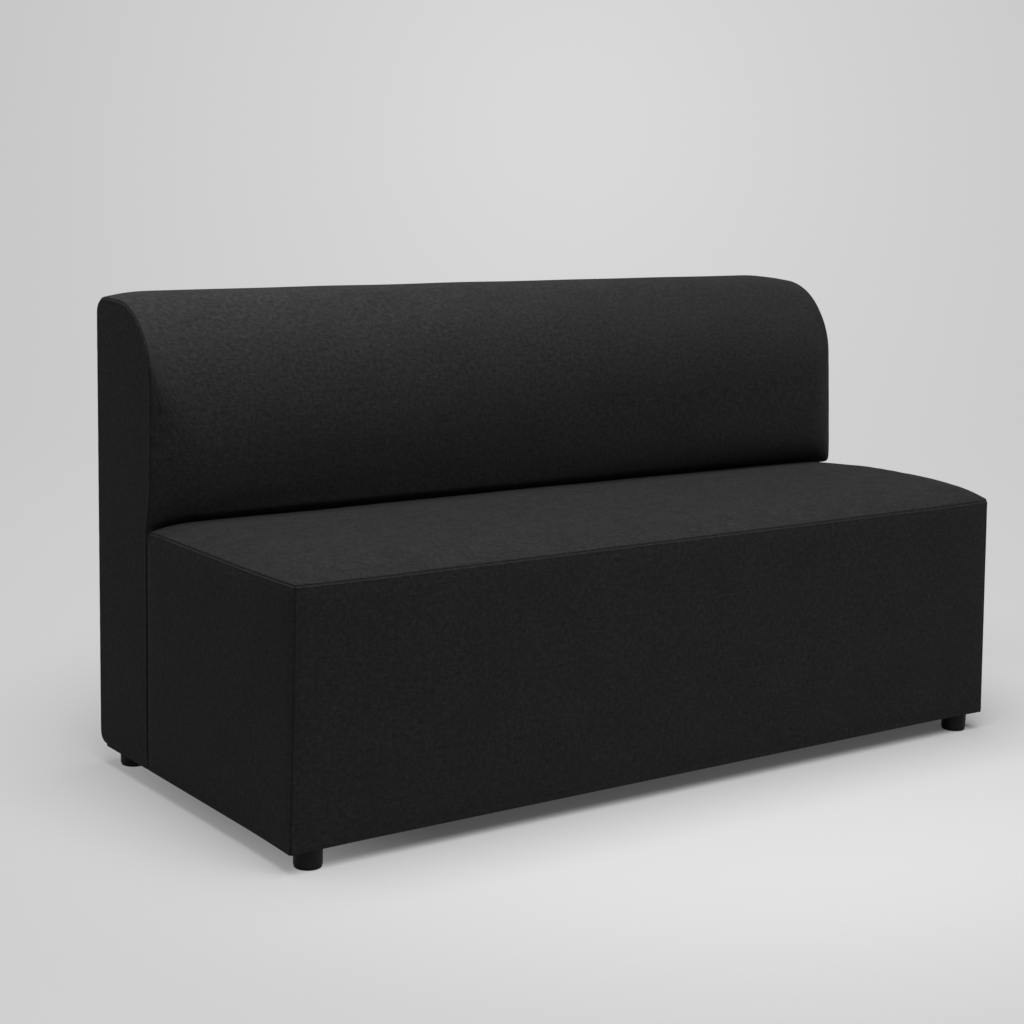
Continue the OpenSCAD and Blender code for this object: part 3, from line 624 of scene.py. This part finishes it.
# A point nearer to a side of the box than this lies on it.
ON_FACE = 1e-9


def seat_shape(box):
    """Bends the box's lattice points into the seat: rolls at its seams, hem, crown and side swell."""
    x, y, z = box.T
    side = np.where(x < 0, -1.0, 1.0)
    # distances from the end, front, rear, bottom and top faces
    d = [HALF_W - np.abs(x), y - FRONT_Y, SEAT_REAR_Y - y, z - FOOT_H, SEAT_H - z]
    end, front, rear, low, top = range(5)
    meets = {  # the edges of each face: the other face, the edge's radius and whether it is a seam
        end: [(front, ROLL_R, True), (rear, JOINT_R, False), (low, HEM_R, False), (top, ROLL_R, True)],
        front: [(end, ROLL_R, True), (low, HEM_R, False), (top, ROLL_R, True)],
        rear: [(end, JOINT_R, False), (low, JOINT_R, False), (top, JOINT_R, False)],
        low: [(end, HEM_R, False), (front, HEM_R, False), (rear, JOINT_R, False)],
        top: [(end, ROLL_R, True), (front, ROLL_R, True), (rear, JOINT_R, False)],
    }
    new = [np.array(v) for v in d]
    for face, others in meets.items():
        on_face = d[face] < ON_FACE
        inset = np.zeros(len(x))
        for other, radius, seam in others:
            inset = inset + edge(d[other], radius, seam)[1]
        # where edges meet, their insets don't add up
        most = 1.3 * others[-1][1]
        new[face] = np.where(on_face, np.minimum(inset, most), new[face])
        for other, radius, seam in others:
            # a point of this face keeps its distance along it, bent near the edge
            along = edge(d[other], radius, seam)[0]
            new[other] = np.where(on_face & (d[other] > ON_FACE), along, new[other])
    level = (z - FOOT_H) / (SEAT_H - FOOT_H)
    swell = SIDE_SWELL * np.sin(math.pi * np.clip(level, 0, 1))
    swell_x = swell * np.sin(math.pi * np.clip((y - FRONT_Y) / (SEAT_REAR_Y - FRONT_Y), 0, 1))
    swell_y = swell * np.sin(math.pi * np.clip((x + HALF_W) / (2 * HALF_W), 0, 1)) ** 0.5
    out_x = side * (HALF_W - new[end] + np.where(d[end] < ON_FACE, swell_x, 0))
    out_y = np.where(d[front] < d[rear], FRONT_Y + new[front], SEAT_REAR_Y - new[rear])
    out_y = out_y - np.where(d[front] < ON_FACE, swell_y, 0)
    out_z = np.where(d[top] < d[low], SEAT_H - new[top], FOOT_H + new[low])
    out_z = out_z + np.where(d[top] < ON_FACE, crown(out_x, out_y), 0)
    # the front corners draw in towards the top
    near = (1 - np.clip(np.hypot(d[end], d[front]) / CORNER_REACH, 0, 1)) ** 2
    draw = (level * (CORNER_IN + CORNER_OUT) - CORNER_OUT) * near
    # the rear corners are rounded at the joint, in the last tenth of the height, less so further from the end
    bend = 1 - np.clip(d[rear] / REAR_TOP_R, 0, 1)
    near_end, near_top = 1 - eased(d[end] / REAR_TOP_REACH), eased((level - 0.9) / 0.1)
    fall = REAR_TOP_R * (1 - np.sqrt(1 - bend**2)) * near_end * near_top
    return np.stack([out_x - side * draw, out_y + draw, out_z - fall], 1)


def seat_seam_distance(points):
    """Distance from the seat's seams: round its top, and up its two front corners."""
    x, y, z = points.T
    end, front = HALF_W - np.abs(x), y - FRONT_Y
    round_top = np.where(z > SEAT_H - 1, np.minimum(end, front), SEAT_H - z)
    corner = np.hypot(np.maximum(end, 0), np.maximum(front, 0))
    return np.maximum(np.minimum(round_top, np.where(z > SEAT_H, 1e3, corner)), 0)


def make_seat():
    """The seat's cushion: its cover, puffed between its seams."""
    xs = line_places(-HALF_W, HALF_W, BESIDE_SEAM, BESIDE_SEAM)
    ys = line_places(FRONT_Y, SEAT_REAR_Y, BESIDE_SEAM, NEAR_JOINT)
    zs = line_places(FOOT_H, SEAT_H, NEAR_HEM, BESIDE_SEAM)
    box, faces, sides = box_mesh(xs, ys, zs)
    cloth = [[box[p][axis] for axis in CLOTH_AXES[s]] for f, s in zip(faces, sides) for p in f]
    piece = make_mesh("seat_cushion_cover", seat_shape(box), faces, cloth, UPHOLSTERY)
    x, y, z = box.T
    end, front, rear = HALF_W - np.abs(x), y - FRONT_Y, SEAT_REAR_Y - y
    low, top = z - FOOT_H, SEAT_H - z
    on_top = top < ON_FACE
    near_side = np.minimum(end, front) < HELD
    near_corner = np.maximum(end, front) < HELD
    near_seam = near_side & (on_top | near_corner) | (top < HELD) & ~on_top
    held = near_seam | (low < HELD + 2) | (rear < HELD)
    # the seat can't rise close to the back
    free = eased((rear - 25) / 60)
    slack = np.where(on_top, SLACK_TOP * free, SLACK_SIDE)
    puffed(piece, held, slack)
    settled(piece, seat_seam_distance, SEAT_SEED)
    return piece


# The back's cover is a side outline, swept along the sofa, with an end panel at each end. Of the outline: the
# heights over the crease where its lean has points, and the steps of its other stretches.
LEAN_AT = (0.0, 1.0, 2.2, 3.6, 5.5, 8.0, 11.0, 16.0, 26.0, 42.0, 68.0)
BOTTOM_STEPS, FOOT_STEPS, FACE_STEPS, STRAIGHT_STEPS = 5, 4, 14, 6
ARC_STEPS, TOP_STEPS, REAR_ARC_STEPS = 16, 2, 5
# so many down the straight rear that the rear half has as many as the front half
REAR_STEPS = FOOT_STEPS + FACE_STEPS + len(LEAN_AT) + STRAIGHT_STEPS + ARC_STEPS - 2 * REAR_ARC_STEPS
# The places of the lines across an end panel, from its seam.
PANEL_AT = np.array([0.9, 2.2, 4.0, 6.5, 10.0, 16.0, 26.0, 40.0, 58.0, 78.0])


def back_outline(inset, p, x=0.0):
    """Points [y, z] of the back's outline at a place x, inset all round, with the swell p of its wrap: from
    the middle of the bottom up its front, over its top and down its rear."""
    drop = TOP_DROP + RIGHT_DROP * ((x + HALF_W) / (2 * HALF_W)) ** 1.5
    bottom, top = FOOT_H + inset, BACK_H + TOP_SWELL * p - inset - drop
    front, rear = BACK_FRONT_Y + inset, REAR_Y + 1.0 * p - inset
    face = BACK_FRONT_Y - LEAN - FRONT_SWELL * p + inset
    middle_y = (BACK_FRONT_Y + REAR_Y) / 2
    foot_r = max(JOINT_R + 2 - inset, 1.0)
    # the face leaves the joint a little below the seat's crown
    crease = SEAT_H + 1 + 0.85 * CROWN * p + 0.5 * inset
    taller = TALLER + (TALLER_RIGHT - TALLER) * float(eased((x - TALLER_FROM) / TALLER_REACH))
    ry, rz = TOP_FRONT_R + FRONT_SWELL * p - inset, TOP_FRONT_R + (TOP_SWELL + taller) * p - inset
    rear_r, low_r = max(TOP_REAR_R - inset, 2.0), max(LOW_REAR_R - inset, 2.0)
    tight = float(eased((x - TIGHT_FROM) / TIGHT_REACH))
    lean_h = LEAN_H + (TIGHT_LEAN_H - LEAN_H) * tight
    out_reach = RIGHT_OUT_REACH - TIGHTER * tight
    points = []

    def run(start, end, count):
        for i in range(count):
            t = i / count
            points.append((start[0] + (end[0] - start[0]) * t, start[1] + (end[1] - start[1]) * t))

    def arc(centre, radius_y, radius_z, first, count):
        for i in range(count):
            a = first - math.pi / 2 * i / count
            points.append((centre[0] + radius_y * math.cos(a), centre[1] + radius_z * math.sin(a)))

    run((middle_y, bottom), (front + foot_r, bottom), BOTTOM_STEPS)
    arc((front + foot_r, bottom + foot_r), foot_r, foot_r, 1.5 * math.pi, FOOT_STEPS)
    run((front, bottom + foot_r), (front, crease), FACE_STEPS)
    bulged = len(points)
    for height in LEAN_AT:
        rolled = ROLL_OUT * p * rise(height, ROLL_H, 2)
        leaning = (front - face - ROLL_OUT * p) * rise(height, lean_h, 3)
        points.append((front - rolled - leaning, crease + height))
    run((face, crease + LEAN_H), (face, top - rz), STRAIGHT_STEPS)
    arc((face + ry, top - rz), ry, rz, math.pi, ARC_STEPS)
    for i in range(bulged, len(points)):
        height = points[i][1] - crease
        more = rise(height, out_reach, 2) * max(0.0, 1 - height / RIGHT_OUT_H) ** 0.85
        points[i] = (points[i][0] - RIGHT_OUT * float(right_share(x)) * more, points[i][1])
    top_mid = (face + ry + rear - rear_r) / 2
    run((face + ry, top), (top_mid, top), TOP_STEPS)
    run((top_mid, top), (rear - rear_r, top), TOP_STEPS)
    arc((rear - rear_r, top - rear_r), rear_r, rear_r, math.pi / 2, REAR_ARC_STEPS)
    run((rear, top - rear_r), (rear, bottom + low_r), REAR_STEPS)
    arc((rear - low_r, bottom + low_r), low_r, low_r, 0.0, REAR_ARC_STEPS)
    run((rear - low_r, bottom), (middle_y, bottom), BOTTOM_STEPS)
    return np.array(points)


def back_seam_distance(points):
    """Distance from the back's two end seams, and a little more on the end panels."""
    from_end = np.abs(HALF_W - np.abs(points[:, 0]))
    return from_end + np.where(np.abs(points[:, 0]) > HALF_W - 3, 12, 0)


def make_back():
    """The back's cushion: its cover, puffed between its end seams."""
    wrap = line_places(0.0, 2 * HALF_W, BESIDE_SEAM + [24.0], BESIDE_SEAM + [24.0])
    panel = PANEL_AT
    rings = []

    def ring(x, outline):
        rings.append(np.column_stack([np.full(len(outline), x), outline]))

    def end_ring(s, side):
        along, inset = (float(v) for v in edge(np.array(s), ROLL_R, True))
        outline = back_outline(along, 0.0, side * HALF_W)
        swell = PANEL_SWELL * float(eased(s / PANEL_REACH))
        if s == panel[-1]:
            n = len(outline)
            outline[n // 2 + 1:, 1] = outline[n // 2 - 1:0:-1, 1]  # level rungs across the last ring
        ring(side * (HALF_W - inset + swell), outline)

    for s in panel[::-1]:
        end_ring(s, -1)
    for place in wrap:
        s = min(place, 2 * HALF_W - place)
        along, inset = (float(v) for v in edge(np.array(s), ROLL_R, True))
        side = -1 if place < HALF_W else 1
        x = side * (HALF_W - along)
        ring(x, back_outline(inset, float(rise(s, SWELL_REACH, 2)), x))
    for s in panel:
        end_ring(s, 1)
    n, m = len(rings[0]), len(rings)
    points = np.concatenate(rings)
    arc = travelled(back_outline(0, 1))
    lengths = np.append(arc, arc[-1] + PITCH)
    first, last = len(panel), len(panel) + len(wrap) - 1
    faces, cloth = [], []
    for i in range(m - 1):
        for j in range(n):
            k = (j + 1) % n
            face = [i * n + j, i * n + k, (i + 1) * n + k, (i + 1) * n + j]
            faces.append(face)
            if first <= i < last:
                here, there = points[i * n][0], points[(i + 1) * n][0]
                low, high = lengths[j], lengths[j + 1]
                cloth += [(here, low), (here, high), (there, high), (there, low)]
            else:
                cloth += [tuple(points[p][1:]) for p in face]
    # the last ring of each end is closed by level rungs
    half = n // 2
    for base, flip in ((0, False), ((m - 1) * n, True)):
        for j in range(half):
            quad = [j, (n - j) % n, n - j - 1, j + 1]
            loop = list(dict.fromkeys(base + q for q in quad))
            loop = loop[::-1] if flip else loop
            faces.append(loop)
            cloth += [tuple(points[q][1:]) for q in loop]
    piece = make_mesh("back_cushion_cover", points, faces, cloth, BACK_UPHOLSTERY)
    fix_outward(piece)
    ends = np.full(len(panel), -1.0)
    place = np.repeat(np.concatenate([ends, wrap, ends]), n)
    from_seam = np.minimum(place, 2 * HALF_W - place)
    y, z = points[:, 1], points[:, 2]
    behind_seat = (y < BACK_FRONT_Y + 4) & (z < SEAT_H + CROWN)
    held = (place < 0) | (from_seam < HELD) | (z < FOOT_H + 30) | behind_seat
    slack = np.where(y > REAR_Y - 5, SLACK_SIDE, SLACK_BACK)
    puffed(piece, held, slack)
    settled(piece, back_seam_distance, BACK_SEED)
    return piece


def fix_outward(piece):
    """Turns the faces outwards if they all point in."""
    points = positions(piece)
    total = 0.0
    for face in piece.data.polygons:
        loop = [points[i] for i in face.vertices]
        for a, b in zip(loop[1:-1], loop[2:]):
            total += float(np.dot(loop[0], np.cross(a, b)))
    if total < 0:
        piece.data.flip_normals()


# The lower edges of the covers hang a little below the frames, at these heights in front and at the joint
# between the blocks. Each is a section, swept along a face. Its points are given as how far out of the face
# they lie and their height, which for the low edge itself is over its lowest line.
HEM_LOW, HEM_JOINT = 32.6, 34.3
HEM_OUTER = [(-0.5, 51.0), (0.0, 47.0), (0.2, 43.0), (0.25, 38.0)]
HEM_EDGE = [(0.25, 1.0), (0.1, 0.25), (-0.15, 0.0), (-0.4, 0.25), (-0.6, 1.0)]
HEM_INNER = [(-0.6, 35.2), (-8.5, 35.2), (-8.5, 44.0), (-2.0, 51.0)]


def make_hem(name, bases, outward, lows):
    """One strip along a row of places on a face, with the height of its low edge at each."""
    points, cloth_at = [], []
    for base, low, along in zip(bases, lows, travelled(bases)):
        section = HEM_OUTER + [(out, low + up) for out, up in HEM_EDGE] + HEM_INNER
        points += [(base[0] + out * outward[0], base[1] + out * outward[1], z) for out, z in section]
        cloth_at += [(along, z) for _, z in section]
    n = len(HEM_OUTER + HEM_EDGE + HEM_INNER)
    faces = []
    for i in range(len(bases) - 1):
        for j in range(n):
            k = (j + 1) % n
            faces.append([i * n + j, i * n + k, (i + 1) * n + k, (i + 1) * n + j])
    faces.append(list(range(n))[::-1])
    faces.append([(len(bases) - 1) * n + j for j in range(n)])
    piece = make_mesh(name, np.array(points), faces, [cloth_at[p] for f in faces for p in f], UPHOLSTERY)
    fix_outward(piece)
    return piece


def make_hems():
    """The hems of the seat's front and ends, and those of the back's ends, which end before its rear."""
    level, near_joint = FOOT_H + 11, [1.0, 2.0, 4.0]
    xs = line_places(-HALF_W, HALF_W, NEAR_SEAM, NEAR_SEAM)
    ys = line_places(FRONT_Y, SEAT_REAR_Y, NEAR_SEAM, near_joint)
    front = seat_shape(np.array([(x, FRONT_Y, level) for x in xs]))[:, :2]
    made = [make_hem("seat_hem_front", front, (0, -1), np.full(len(xs), HEM_LOW))]
    lows = HEM_LOW + (HEM_JOINT - HEM_LOW) * (ys - FRONT_Y) / (SEAT_REAR_Y - FRONT_Y)
    back_ys = line_places(BACK_FRONT_Y, REAR_Y - LOW_REAR_R - 6, near_joint, [4.0])
    back_lows = HEM_JOINT + (FOOT_H - 1 - HEM_JOINT) * (back_ys - back_ys[0]) / (back_ys[-1] - back_ys[0])
    for side, end in ((-1, "left"), (1, "right")):
        seat = seat_shape(np.array([(side * HALF_W, y, level) for y in ys]))[:, :2]
        made.append(make_hem(f"seat_hem_{end}", seat, (side, 0), lows))
        inset = np.maximum(edge(back_ys - BACK_FRONT_Y, JOINT_R, False)[1], 0)
        back = np.column_stack([side * (HALF_W - inset), back_ys])
        made.append(make_hem(f"back_hem_{end}", back, (side, 0), back_lows))
    return made


# Seam threads


def make_stitches(name, paths, material):
    """Short stitches laid in the seams. Each path is a line of points in millimetres."""
    length, gap, radius, sides = 4.2, 0.9, 0.32, 6
    rings = ((0, 0.45), (0.12, 1.0), (0.88, 1.0), (1, 0.45))  # places along a stitch, shares of its radius
    points, faces = [], []
    for path in paths:
        path = np.array(path)
        run = travelled(path)

        def at(s, path=path, run=run):
            return np.array([np.interp(s, run, path[:, c]) for c in range(3)])

        count = int(run[-1] / (length + gap))
        for i in range(count):
            start = (i + 0.5) * (length + gap) - length / 2
            base = len(points)
            axis = at(start + length) - at(start)
            axis /= max(np.linalg.norm(axis), 1e-9)
            across = np.cross(axis, (0.3, 0.2, 0.93) if abs(axis[2]) < 0.8 else (0.93, 0.3, 0.2))
            across /= np.linalg.norm(across)
            third = np.cross(axis, across)
            for t, share in rings:
                centre = at(start + length * t)
                for k in range(sides):
                    a = 2 * math.pi * k / sides
                    points.append(centre + radius * share * (across * math.cos(a) + third * math.sin(a)))
            for r in range(len(rings) - 1):
                for k in range(sides):
                    a, b = base + r * sides + k, base + r * sides + (k + 1) % sides
                    faces.append([a, b, b + sides, a + sides])
            faces.append([base + k for k in range(sides)][::-1])
            faces.append([len(points) - sides + k for k in range(sides)])
    points = np.array(points)
    cloth = [tuple(points[i][:2]) for f in faces for i in f]
    piece = make_mesh(name, points, faces, cloth, material)
    fix_outward(piece)
    return piece


def thread_material():
    """Twisted black sewing thread."""
    n = Nodes("thread")
    twist = n.bands("DIAGONAL", Vector=n.place(), Scale=900.0, Distortion=1.0)["Fac"]
    tint = n.mix(twist, (0.004, 0.004, 0.004), (0.014, 0.014, 0.0145))
    normal = n.bump(twist, 0.4, 0.0002)
    return n.surface(Base_Color=tint, Roughness=0.7, Specular_IOR_Level=0.2, Normal=normal)


def seam_lines():
    """The bottoms of the seams' valleys: round the seat's top and up its front corners, and round the back's
    two ends."""
    rear, proud = SEAT_REAR_Y - 12, 0.15
    backs, fronts = np.linspace(rear, FRONT_Y, 40), np.linspace(-HALF_W, HALF_W, 120)
    around = [(-HALF_W, y, SEAT_H) for y in backs] + [(x, FRONT_Y, SEAT_H) for x in fronts[1:-1]]
    around += [(HALF_W, y, SEAT_H) for y in backs[::-1]]
    ups = np.linspace(FOOT_H + HEM_R, SEAT_H - 3, 40)
    seat = [around, *([(side * HALF_W, FRONT_Y, z) for z in ups] for side in (-1, 1))]
    seat = [seat_shape(np.array(path)) + (0, -proud, proud) for path in seat]
    inset = float(edge(np.array(0.0), ROLL_R, True)[1]) - proud
    back = []
    for side in (-1, 1):
        outline = back_outline(inset, 0.0, side * HALF_W)
        back.append([(side * (HALF_W - inset), q[0], q[1]) for q in outline if q[1] > FOOT_H + 12])
    return seat, back


# Surroundings


# The floor, in metres: from its front edge to where it starts to curve up, the curve's radius, the wall's top
# and half its width.
FLOOR_FRONT, FLOOR_REAR, FLOOR_CURVE, WALL_TOP, FLOOR_HALF_W = -4.0, 3.2, 2.2, 7.0, 9.0
# The paper's grey where it is seen, and to stray light.
PAPER_SEEN, PAPER_STRAY = (0.66, 0.66, 0.66), (0.36, 0.36, 0.36)
# The lamp, in metres and watts, lies flat over the sofa's front and shines straight down. A weak even light
# comes from all round.
LAMP_AT, LAMP_SIZE, LAMP_POWER = (-0.25, -1.2, 3.3), (2.9, 4.2), 156
EVEN_LIGHT = 0.205


def stage_material():
    """Pale and matte to the camera and in reflections, darker to stray light. There the paper also glows with
    painted light: a little beside the sofa, which lightens its shadow, and more and more away from it, so
    that no lamp has to light it, brightest towards the middle and dimmer further out."""
    n = Nodes("studio_paper")
    path = n.add("ShaderNodeLightPath").outputs
    seen = n.math("MAXIMUM", path["Is Camera Ray"], path["Is Glossy Ray"])
    seen = n.math("MAXIMUM", seen, path["Is Transmission Ray"])
    place = n.place()
    # painted light: the glow's share is small beside the sofa, where it lightens the sofa's shadow, and whole
    # further away
    far = n.distance(place, (0.18, 0.06, 0))
    own = n.ramp(n.math("MULTIPLY", far, 0.25), [(0.16, 0.1), (0.36, 1.0)], "EASE")
    # painted light: the glow is brightest towards the middle of the wall and dimmer further out
    centre = n.distance(n.scaled(place, (1, 0, 1)), (0.1, 0, 1.1))
    tone = n.ramp(n.math("MULTIPLY", centre, 0.25), [(0.05, 0.695), (0.95, 0.5)])
    glow = n.add("ShaderNodeEmission")
    n.link(tone, glow.inputs["Color"])
    both = n.add("ShaderNodeMixShader")
    n.link(n.math("MULTIPLY", seen, own), both.inputs[0])
    n.link(n.shader.outputs[0], both.inputs[1])
    n.link(glow.outputs[0], both.inputs[2])
    output = next(node for node in n.tree.nodes if node.type == "OUTPUT_MATERIAL")
    n.link(both.outputs[0], output.inputs["Surface"])
    paper = n.mix(seen, PAPER_STRAY, PAPER_SEEN)
    return n.surface(Base_Color=paper, Roughness=0.9, Specular_IOR_Level=0.05)


def make_stage():
    """A pale floor that curves up into a wall, under one soft lamp in a faint even light."""
    curve = FLOOR_CURVE
    rows = [(FLOOR_FRONT, 0.0), (FLOOR_REAR, 0.0)]
    for a in np.linspace(0, math.pi / 2, 25)[1:]:
        rows.append((FLOOR_REAR + curve * math.sin(a), curve - curve * math.cos(a)))
    rows.append((FLOOR_REAR + curve, WALL_TOP))
    points = [(x, y, z) for y, z in rows for x in (-FLOOR_HALF_W, FLOOR_HALF_W)]
    faces = [[2 * i, 2 * i + 1, 2 * i + 3, 2 * i + 2] for i in range(len(rows) - 1)]
    mesh = bpy.data.meshes.new("floor")
    mesh.from_pydata(points, [], faces)
    mesh.polygons.foreach_set("use_smooth", np.ones(len(mesh.polygons), bool))
    mesh.materials.append(stage_material())
    floor = bpy.data.objects.new("floor", mesh)
    floor.rotation_euler = (0, 0, -YAW)  # square to the camera
    bpy.context.scene.collection.objects.link(floor)

    world = bpy.data.worlds.new("studio")
    world.use_nodes = True
    background = world.node_tree.nodes["Background"]
    background.inputs["Color"].default_value = (1, 1, 1, 1)
    background.inputs["Strength"].default_value = EVEN_LIGHT
    bpy.context.scene.world = world

    light = bpy.data.lights.new("overhead", "AREA")
    light.shape = "RECTANGLE"
    light.size, light.size_y = LAMP_SIZE
    light.energy = LAMP_POWER
    lamp = bpy.data.objects.new("overhead", light)
    lamp.location = LAMP_AT
    lamp.rotation_euler = Vector((0, 0, -1)).to_track_quat("-Z", "Y").to_euler()
    bpy.context.scene.collection.objects.link(lamp)


def main():
    place_camera()
    finish_solids()
    seat = make_seat()
    back = make_back()
    # each cushion stands for its cover and for the foam and wadding that the cover squeezes
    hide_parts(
        "seat_cover", "seat_wadding", "seat_foam",
        *(f"seat_{s}_foam" for s in ("front", "left", "right")),
    )
    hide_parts("back_cover", "back_foam", *(f"back_{s}_foam" for s in ("left", "right", "rear")))
    for piece in (seat, back):
        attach(piece, "root")
    thread = thread_material()
    seat_lines, back_lines = seam_lines()
    for name, lines in (("seat_seam_stitches", seat_lines), ("back_seam_stitches", back_lines)):
        stitches = make_stitches(name, lines, thread)
        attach(stitches, "root")
    for hem in make_hems():
        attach(hem, "root")
    make_stage()
    bpy.context.scene.view_settings.view_transform = "Standard"


main()
